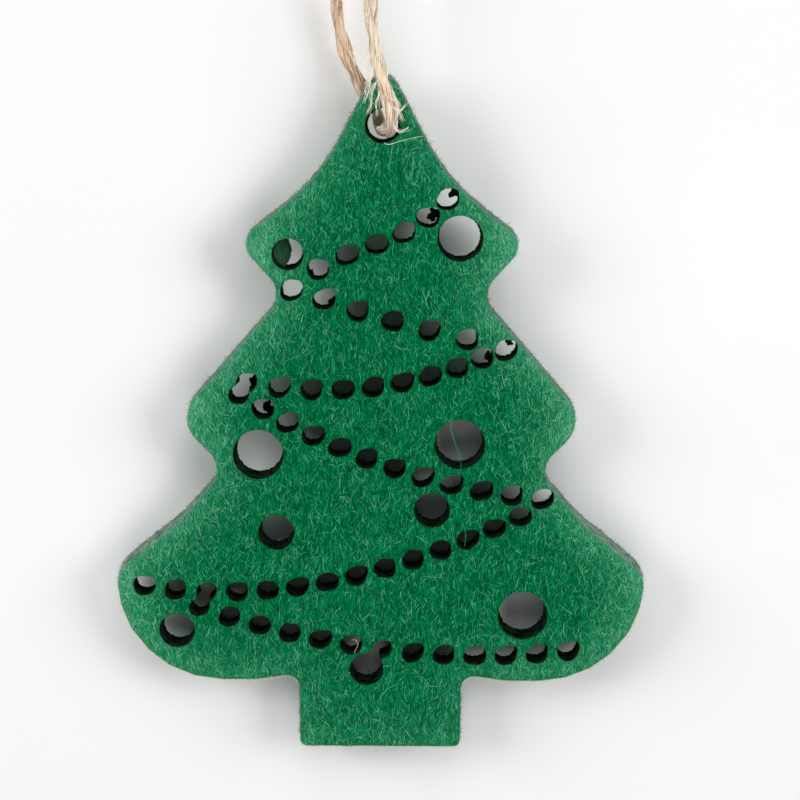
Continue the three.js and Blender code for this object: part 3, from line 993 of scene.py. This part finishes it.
def node_material(name, roughness=1.0, specular=0.0):
    """A material with its node tree and shader, dull unless said otherwise."""
    material = bpy.data.materials.new(name)
    material.use_nodes = True
    tree = material.node_tree
    shader = tree.nodes["Principled BSDF"]
    set_inputs(shader, {"Roughness": roughness, "Specular IOR Level": specular})
    return material, tree, shader


def ramp(tree, factor, stops):
    node = tree.nodes.new("ShaderNodeValToRGB")
    elements = node.color_ramp.elements
    while len(elements) < len(stops):
        elements.new(0.5)
    for element, (place, *colour) in zip(elements, stops):
        element.position = place
        element.color = srgb(*colour)
    tree.links.new(factor, node.inputs["Fac"])
    return node.outputs["Color"]


def noise(tree, vector, scale, detail, distortion):
    node = tree.nodes.new("ShaderNodeTexNoise")
    set_inputs(node, {"Scale": scale, "Detail": detail, "Distortion": distortion})
    tree.links.new(vector, node.inputs["Vector"])
    return node.outputs["Fac"]


def larger(tree, first, second):
    node = tree.nodes.new("ShaderNodeMath")
    node.operation = "MAXIMUM"
    tree.links.new(first, node.inputs[0])
    tree.links.new(second, node.inputs[1])
    return node.outputs[0]


def mixed(tree, value_name, first, second):
    """Two colours mixed by a value that the mesh holds at its points."""
    value = tree.nodes.new("ShaderNodeAttribute")
    value.attribute_name = value_name
    node = tree.nodes.new("ShaderNodeMixRGB")
    tree.links.new(value.outputs["Fac"], node.inputs["Fac"])
    for colour, socket in ((first, node.inputs["Color1"]), (second, node.inputs["Color2"])):
        if isinstance(colour, tuple):
            socket.default_value = colour
        else:
            tree.links.new(colour, socket)
    return node.outputs["Color"]


def shade_material(name, stops, roughness=1.0, specular=0.0):
    """Fibres coloured by their own shade, which is their place across the map."""
    material, tree, shader = node_material(name, roughness, specular)
    place = tree.nodes.new("ShaderNodeUVMap")
    place.uv_map = "OFBake"
    split = tree.nodes.new("ShaderNodeSeparateXYZ")
    tree.links.new(place.outputs["UV"], split.inputs[0])
    tree.links.new(ramp(tree, split.outputs["X"], stops), shader.inputs["Base Color"])
    return material


def felt_material(name, stops):
    """Packed wool: streaks of crossing fibres, paled near the outline by haze, a painted sheen, and singed
    walls where it was cut.
    """
    material, tree, shader = node_material(name)
    place = tree.nodes.new("ShaderNodeTexCoord").outputs["Object"]
    streaks = None
    for degrees, scale in ((0, 1.0), (28, 0.9), (-31, 1.1), (74, 0.8)):
        turned = tree.nodes.new("ShaderNodeMapping")
        sizes = (5200 * scale, 900 * scale, 900 * scale)
        set_inputs(turned, {"Rotation": (0, math.radians(degrees), 0), "Scale": sizes})
        tree.links.new(place, turned.inputs["Vector"])
        lines = noise(tree, turned.outputs["Vector"], 1.0, 1.5, 0.6)
        streaks = lines if streaks is None else larger(tree, streaks, lines)
    green = ramp(tree, streaks, stops)
    blots = noise(tree, place, 900, 4, 0.0)
    wall = mixed(tree, "rim", ramp(tree, blots, SINGED_WALL), ramp(tree, blots, RIM_WALL))
    # Painted sheen: the green goes over into a pale colour where the haze value is high, and the walls'
    # colour then takes over
    colour = mixed(tree, "singe", mixed(tree, "haze", green, srgb(*SHEEN_FELT)), wall)
    tree.links.new(colour, shader.inputs["Base Color"])
    bump = tree.nodes.new("ShaderNodeBump")
    set_inputs(bump, {"Strength": 0.6, "Distance": 0.0002})
    tree.links.new(streaks, bump.inputs["Height"])
    tree.links.new(bump.outputs["Normal"], shader.inputs["Normal"])
    return material


def paper_material():
    """White paper that is seen and shaded on its front only."""
    material, tree, shader = node_material("paper")
    set_inputs(shader, {"Base Color": PAPER_WHITE})
    facing = tree.nodes.new("ShaderNodeNewGeometry")
    clear = tree.nodes.new("ShaderNodeBsdfTransparent")
    mix = tree.nodes.new("ShaderNodeMixShader")
    tree.links.new(facing.outputs["Backfacing"], mix.inputs["Fac"])
    tree.links.new(shader.outputs["BSDF"], mix.inputs[1])
    tree.links.new(clear.outputs["BSDF"], mix.inputs[2])
    tree.links.new(mix.outputs["Shader"], tree.nodes["Material Output"].inputs["Surface"])
    return material


# Stage and light

def paper_gap(x, z):
    """The paper's distance from the felt's back."""
    fall = PAPER_FALL * (1 + np.tanh((z + 82) / 18)) * (1 + np.tanh(x / 8))
    rise = PAPER_RISE * (1 + np.tanh((-124 - z) / 11))
    gap = PAPER_GAP + fall - rise
    for middle, reach, height in PAPER_BUCKLES:
        gap = gap + height * bell(x, middle[0], reach[0]) * bell(z, middle[1], reach[1])
    return gap


def paper_sweep(felt_back):
    """The paper, finely drawn behind the felt and plain beyond it."""
    columns = np.concatenate([[-1200, -300, -120], np.arange(-80, 81, 2), [120, 300, 1200]])
    rows = np.concatenate([[500, 200, 60, 0], np.arange(-40, -181, -2), [-250, -400, -500]])
    x, z = np.meshgrid(columns, rows)
    y = felt_back + paper_gap(x, z)
    points = np.stack([x, y, z], -1).reshape(-1, 3)
    across, down = len(columns), len(rows)
    first = (np.arange(down - 1)[:, None] * across + np.arange(across - 1)).ravel()
    quads = np.stack([first, first + across, first + across + 1, first + 1], 1)
    return mesh_piece("paper_sweep", points, [quads], [points[:, [0, 2]]], paper_material())


def soft_lamp(name, place, size, watts):
    lamp = bpy.data.lights.new(name, "AREA")
    lamp.shape = "SQUARE"
    lamp.size = size
    lamp.energy = watts
    holder = bpy.data.objects.new(name, lamp)
    scene.collection.objects.link(holder)
    holder.location = place
    holder.rotation_euler = (Vector(LAMP_AIM) - Vector(place)).to_track_quat("-Z", "Y").to_euler()
    return lamp


def dome_world():
    """A white dome that lights from the front, weakly from behind, and looks white itself."""
    world = bpy.data.worlds.new("studio")
    world.use_nodes = True
    tree = world.node_tree
    place = tree.nodes.new("ShaderNodeTexCoord")
    split = tree.nodes.new("ShaderNodeSeparateXYZ")
    behind = tree.nodes.new("ShaderNodeMapRange")
    set_inputs(behind, {"From Min": -0.55, "From Max": -0.3, "To Min": DOME_FRONT, "To Max": DOME_BACK})
    rays = tree.nodes.new("ShaderNodeLightPath")
    background = tree.nodes["Background"]
    tree.links.new(place.outputs["Generated"], split.inputs[0])
    tree.links.new(split.outputs["Y"], behind.inputs["Value"])
    strength = behind.outputs["Result"]
    for ray in ("Is Camera Ray", "Is Glossy Ray", "Is Transmission Ray"):
        strength = larger(tree, strength, rays.outputs[ray])
    tree.links.new(strength, background.inputs["Strength"])
    set_inputs(background, {"Color": (1, 1, 1, 1)})
    return world


# The materials
felt_green = felt_material("felt", FELT_STREAKS)
# Painted shade: the stuck cut-out gets a darker copy of the felt
shaded_plug_green = felt_material("felt_plug", SHADED_PLUG_STREAKS)
felt_fibre = shade_material("felt_fibre", FELT_SHADES)
singed_felt = shade_material("felt_singed", SINGED_SHADES)
rim_fibre = shade_material("felt_rim_fibre", RIM_SHADES)
jute = shade_material("jute_fibre", JUTE_SHADES, roughness=0.8, specular=0.2)

# The felt tree and its stuck cut-out
tree_cut = Cutout("felt_tree")
tree_haze = Haze(tree_cut)
felt = felt_piece("felt_panel", tree_cut, tree_haze, felt_green, ragged=0.05, edge_round=EDGE_ROUND)
fibre_pieces = [
    edge_fibres("felt_rim_fibres", tree_cut, rim_fibre, outer=True, count=RIM_FIBRES),
    edge_fibres("felt_hole_fibres", tree_cut, singed_felt, outer=False, count=HOLE_FIBRES),
]
for face in (-1, 1):
    for layer_name in FIBRE_LAYERS:
        fibre_pieces.append(face_fibres(layer_name, tree_cut, tree_haze, felt_fibre, face))
fibre_pieces += [
    hole_tags("felt_hole_tags", HOLE_TAGS, singed_felt),
    laid_fibres("felt_loose_threads", LOOSE_THREADS, felt_fibre, width=0.07, shades=[0.68, 0.7, 0.3]),
    laid_fibres("stray_jute_fibre", [STRAY_CURL], jute, width=0.1, shades=[0.12]),
]
plug_cut = Cutout("stuck_plug")
plug_cut.loops = [plug_outline(plug_cut.loops[0], tree_cut.loops[1:])]
plug_cut.measure()
plug = felt_piece("stuck_plug_felt", plug_cut, tree_haze, shaded_plug_green, ragged=0.03, edge_round=0.03)
for piece in [felt, plug] + fibre_pieces:
    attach(piece, "tree")
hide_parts("felt_tree")
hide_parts("stuck_plug")

# The twine loop, its knot and its tails
route = smooth_path(loop_points(), TWINE_STEP)
strand = Yarn(route, opening=thickness_along(route))
strand.add_cores()
strand.add_fibres()
loop = strand.piece("twine_loop_yarn", jute)
wisps = Yarn(route)
wisps.add_hairs(count=1500)
hairs = wisps.piece("twine_loop_hairs", jute)
frayed = frayed_piece(jute)
knot = knot_piece(jute)
tail_right = tail_piece("twine_tail_right_yarn", 1, jute)
tail_left = tail_piece("twine_tail_left_yarn", -1, jute)
for piece in (loop, hairs, frayed, knot, tail_right, tail_left):
    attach(piece, "hanger")
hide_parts("twine_loop")
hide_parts("twine_knot")
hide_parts("twine_tail_right")
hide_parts("twine_tail_left")
loop_length = float(norm(np.diff(route, axis=0), axis=1).sum()) * MM

# The paper behind the felt, and the light
paper = paper_sweep(tree_cut.back)
paper.visible_shadow = False
lamps = {name: soft_lamp(name, *settings) for name, settings in LAMPS.items()}
lamps["back_lamp"].cycles.max_bounces = 0
scene.world = dome_world()

# The camera
camera_data = bpy.data.cameras.new("camera")
camera_data.angle = CAMERA_ANGLE
camera_data.clip_start = 0.01
camera = bpy.data.objects.new("camera", camera_data)
scene.collection.objects.link(camera)
target = Vector(PICTURE_MIDDLE) * MM
offset = Vector((0, -math.cos(CAMERA_ELEVATION), math.sin(CAMERA_ELEVATION)))
camera.location = target + offset * CAMERA_DISTANCE * MM
camera.rotation_euler = (math.pi / 2 - CAMERA_ELEVATION, 0, 0)
camera.rotation_euler.rotate_axis("Z", CAMERA_ROLL)
scene.camera = camera
scene.view_settings.view_transform = "Standard"
